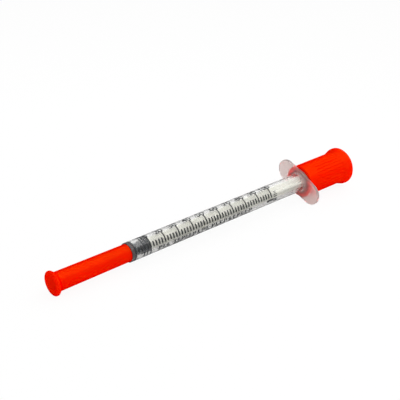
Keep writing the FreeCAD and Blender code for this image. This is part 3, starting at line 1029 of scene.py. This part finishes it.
def flatNumber(text, weight):
    # outline of a number as a flat mesh, centred, its strokes widened by the weight
    curve = bpy.data.curves.new("number", "FONT")
    curve.body = text
    curve.align_x = "CENTER"
    curve.offset = weight
    curve.resolution_u = printSizes["curveSteps"]
    holder = placed("number", curve)
    bpy.context.view_layer.update()
    shown = holder.evaluated_get(bpy.context.evaluated_depsgraph_get())
    mesh = bpy.data.meshes.new_from_object(shown)
    bpy.data.objects.remove(holder)
    return mesh


def bentNumber(text, place, middle, tall, weight, lying):
    # one number scaled to its height, turned to lie along the barrel if asked, cut into bands
    # and bent round it
    size = printSizes
    mesh = flatNumber(text, weight)
    part = bmesh.new()
    part.from_mesh(mesh)
    flat = np.array([v.co[:2] for v in part.verts])
    low, high = flat.min(0), flat.max(0)
    scale = tall / (high[1] - low[1])
    flat = (flat - (low + high) / 2) * scale * np.array([size["numberWidth"], 1])
    if lying:
        flat = np.stack([-flat[:, 1], flat[:, 0]], axis=-1)
    for vert, (x, y) in zip(part.verts, flat):
        vert.co = (x, y, 0)
    for cut in np.arange(-tall, tall, size["bandWidth"]):
        geometry = part.verts[:] + part.edges[:] + part.faces[:]
        bmesh.ops.bisect_plane(part, geom=geometry, plane_co=(0, cut, 0), plane_no=(0, 1, 0))
    bmesh.ops.triangulate(part, faces=part.faces[:])
    bmesh.ops.remove_doubles(part, verts=part.verts[:], dist=size["mergeWithin"])
    flat = np.array([v.co[:2] for v in part.verts])
    heights = np.full(len(flat), size["above"])
    points = bent(np.stack([flat[:, 0] + place, arcMm(middle) - flat[:, 1], heights], axis=-1))
    for vert, point in zip(part.verts, points):
        vert.co = point * mm
    part.to_mesh(mesh)
    part.free()
    return mesh


def makeNumbers():
    # the tens above their lines and the 1 below the last one, joined, turned outwards and
    # thickened
    size = printSizes
    whole = bmesh.new()
    numbers = [(str(10 * n), size["numberStep"] * n + size["numberShift"], size["numberMiddle"],
                size["numberHeight"], size["numberWeight"], False) for n in range(1, 11)]
    numbers.append(("1", size["onePlace"], size["oneMiddle"], size["oneHeight"], size["oneWeight"],
                    True))
    for number in numbers:
        part = bentNumber(*number)
        whole.from_mesh(part)
        bpy.data.meshes.remove(part)
    bmesh.ops.recalc_face_normals(whole, faces=whole.faces[:])
    mesh = bpy.data.meshes.new("printedNumbers")
    whole.to_mesh(mesh)
    whole.free()
    outward = sum(p.normal.dot(Vector((0, p.center.y, p.center.z))) for p in mesh.polygons)
    if outward < 0:
        mesh.flip_normals()
    piece = placed("printedNumbers", mesh)
    thick = piece.modifiers.new("thickness", "SOLIDIFY")
    thick.thickness = (size["above"] + size["below"]) * mm
    thick.offset = -1
    return piece


dress(makeScale(), ink, "barrel", "black_ink", "scale_lines")
dress(makeWording(), ink, "barrel", "black_ink")
dress(makeNumbers(), ink, "barrel", "black_ink")
print("print made")


# Table top, tilted to touch the shield's rim and the cap's crest, and the light round it
stageLook = {
    "rimPlace": (-28.8, -4.06),
    "crestPlace": (96.3, -6.73),
    "floorSize": 4.0,  # m
    "floorNear": "#F6F6F6",
    # painted shade: the floor greys far off as if out of the lamps' light, which darkens
    # reflections and bounced light
    "floorFarPaintedShade": "#9A9A9A",
    "nearReach": (0.12, 0.5),  # m from the middle, where the white ends and the grey begins
    "glow": 0.93,  # share of the floor that the camera sees as plain white
    "clearGlow": 0.38,  # the same for rays through clear plastic
    "mirrorShare": 0.5,  # share of the surroundings that shows in reflections
    "skyStrength": 0.82,
    "horizonGrey": 0.92,
    "whiteFrom": 0.7,  # sine of the elevation above which the sky is white
    "lampPower": 3.6,
    "lampSize": 1.0,
    "lampPlace": (0.42, 0.0, 0.52),
    "fillPower": 1.3,
    "fillSize": 0.9,
    "fillPlace": (-0.15, -0.6, 0.35),
    "lampAim": (0.035, 0, 0),  # m, the middle of the part
}


def mixedFor(tree, kind, share, usual, special):
    # rays of one kind see a share of the special shader, all others the usual one
    paths = addNode(tree, "LightPath")
    amount = addNode(tree, "Math", {"operation": "MULTIPLY", 1: share}, {0: paths.outputs[kind]})
    return addNode(tree, "MixShader", links={0: amount.outputs[0], 1: usual.outputs[0],
                                             2: special.outputs[0]})


def whiteTable():
    # white near the part and painted shade, grey, far off, dimmer in reflections, plain white for
    # the camera
    look = stageLook
    material, tree, output = newMaterial("whiteTableTop")
    coordinates = addNode(tree, "TexCoord")
    distance = addNode(tree, "VectorMath", {"operation": "LENGTH"},
                       {0: coordinates.outputs["Object"]})
    far = addNode(tree, "MapRange", {1: look["nearReach"][0], 2: look["nearReach"][1]},
                  {0: distance.outputs["Value"]})
    colour = twoColours(tree, far.outputs[0], look["floorNear"], look["floorFarPaintedShade"])
    matt = addNode(tree, "BsdfDiffuse", links={"Color": colour})
    white = addNode(tree, "Emission", {"Strength": 1.0})
    black = addNode(tree, "BsdfDiffuse", {"Color": (0, 0, 0, 1)})
    shade = mixedFor(tree, "Is Glossy Ray", 1 - look["mirrorShare"], matt, black)
    through = mixedFor(tree, "Is Transmission Ray", look["clearGlow"], shade, white)
    shown = mixedFor(tree, "Is Camera Ray", look["glow"], through, white)
    tree.links.new(shown.outputs[0], output.inputs[0])
    return material


def makeFloor():
    # a plane through both touching points: z = z0 + slope (x - x0)
    look = stageLook
    (x0, z0), (x1, z1) = look["rimPlace"], look["crestPlace"]
    slope = (z1 - z0) / (x1 - x0)
    half = look["floorSize"] / 2
    corners = [(x, y, z0 * mm + slope * (x - x0 * mm)) for x, y in
               ((-half, -half), (half, -half), (half, half), (-half, half))]
    mesh = bpy.data.meshes.new("tableTop")
    mesh.from_pydata(corners, [], [(0, 1, 2, 3)])
    mesh.materials.append(whiteTable())
    placed("tableTop", mesh)


def makeSky():
    # rays off and through the part see a grey horizon that turns white with their height, the
    # camera sees plain white, and all other rays get one even light
    look = stageLook
    world = bpy.data.worlds.new("studio")
    bpy.context.scene.world = world
    world.use_nodes = True
    tree = world.node_tree
    tree.nodes.clear()
    output = addNode(tree, "OutputWorld")
    direction = addNode(tree, "TexCoord")
    split = addNode(tree, "SeparateXYZ", links={0: direction.outputs["Generated"]})
    height = addNode(tree, "MapRange", {2: look["whiteFrom"], 3: look["horizonGrey"]},
                     {0: split.outputs[2]})
    soft = addNode(tree, "Background", {"Strength": look["skyStrength"]})
    grey = {0: height.outputs[0]}
    mirrored = addNode(tree, "Background", {"Strength": look["mirrorShare"]}, grey)
    clearSeen = addNode(tree, "Background", {"Strength": 1.0}, grey)
    white = addNode(tree, "Background", {"Strength": 1.0})
    reflected = mixedFor(tree, "Is Glossy Ray", 1.0, soft, mirrored)
    through = mixedFor(tree, "Is Transmission Ray", 1.0, reflected, clearSeen)
    shown = mixedFor(tree, "Is Camera Ray", 1.0, through, white)
    tree.links.new(shown.outputs[0], output.inputs[0])


def makeLamp(name, power, width, place):
    # a square soft box that looks at the middle of the part
    lamp = bpy.data.lights.new(name, "AREA")
    lamp.energy = power
    lamp.size = width
    holder = placed(name, lamp)
    holder.location = place
    holder.visible_camera = False
    aim = Vector(stageLook["lampAim"]) - Vector(place)
    holder.rotation_euler = aim.to_track_quat("-Z", "Y").to_euler()


makeFloor()
makeSky()
makeLamp("mainSoftBox", stageLook["lampPower"], stageLook["lampSize"], stageLook["lampPlace"])
makeLamp("fillSoftBox", stageLook["fillPower"], stageLook["fillSize"], stageLook["fillPlace"])
print("stage made")


# Camera as it stood for the photo
cameraSizes = {
    "place": (-165.67, -214.67, 171.1),  # mm
    "azimuth": -42.145,
    "elevation": 29.281,
    "roll": 2.302,
    "lens": 91.6,
    "sensor": 36.0,
    "clipStart": 0.01,  # m
}


def makeCamera():
    # backwards is (sin a cos e, -cos a cos e, sin e) and sideways (cos a, sin a, 0), which the
    # roll then turns
    size = cameraSizes
    a, e, roll = (math.radians(size[k]) for k in ("azimuth", "elevation", "roll"))
    back = Vector((math.sin(a) * math.cos(e), -math.cos(a) * math.cos(e), math.sin(e)))
    level = Vector((math.cos(a), math.sin(a), 0))
    rise = back.cross(level)
    right = level * math.cos(roll) + rise * math.sin(roll)
    up = back.cross(right)
    camera = bpy.data.cameras.new("camera")
    camera.lens = size["lens"]
    camera.sensor_width = size["sensor"]
    camera.clip_start = size["clipStart"]
    holder = placed("camera", camera)
    turn = Matrix((right, up, back)).transposed().to_4x4()
    holder.matrix_world = Matrix.Translation(Vector(size["place"]) * mm) @ turn
    bpy.context.scene.camera = holder


makeCamera()
bpy.context.scene.view_settings.view_transform = "Standard"
print("camera set")
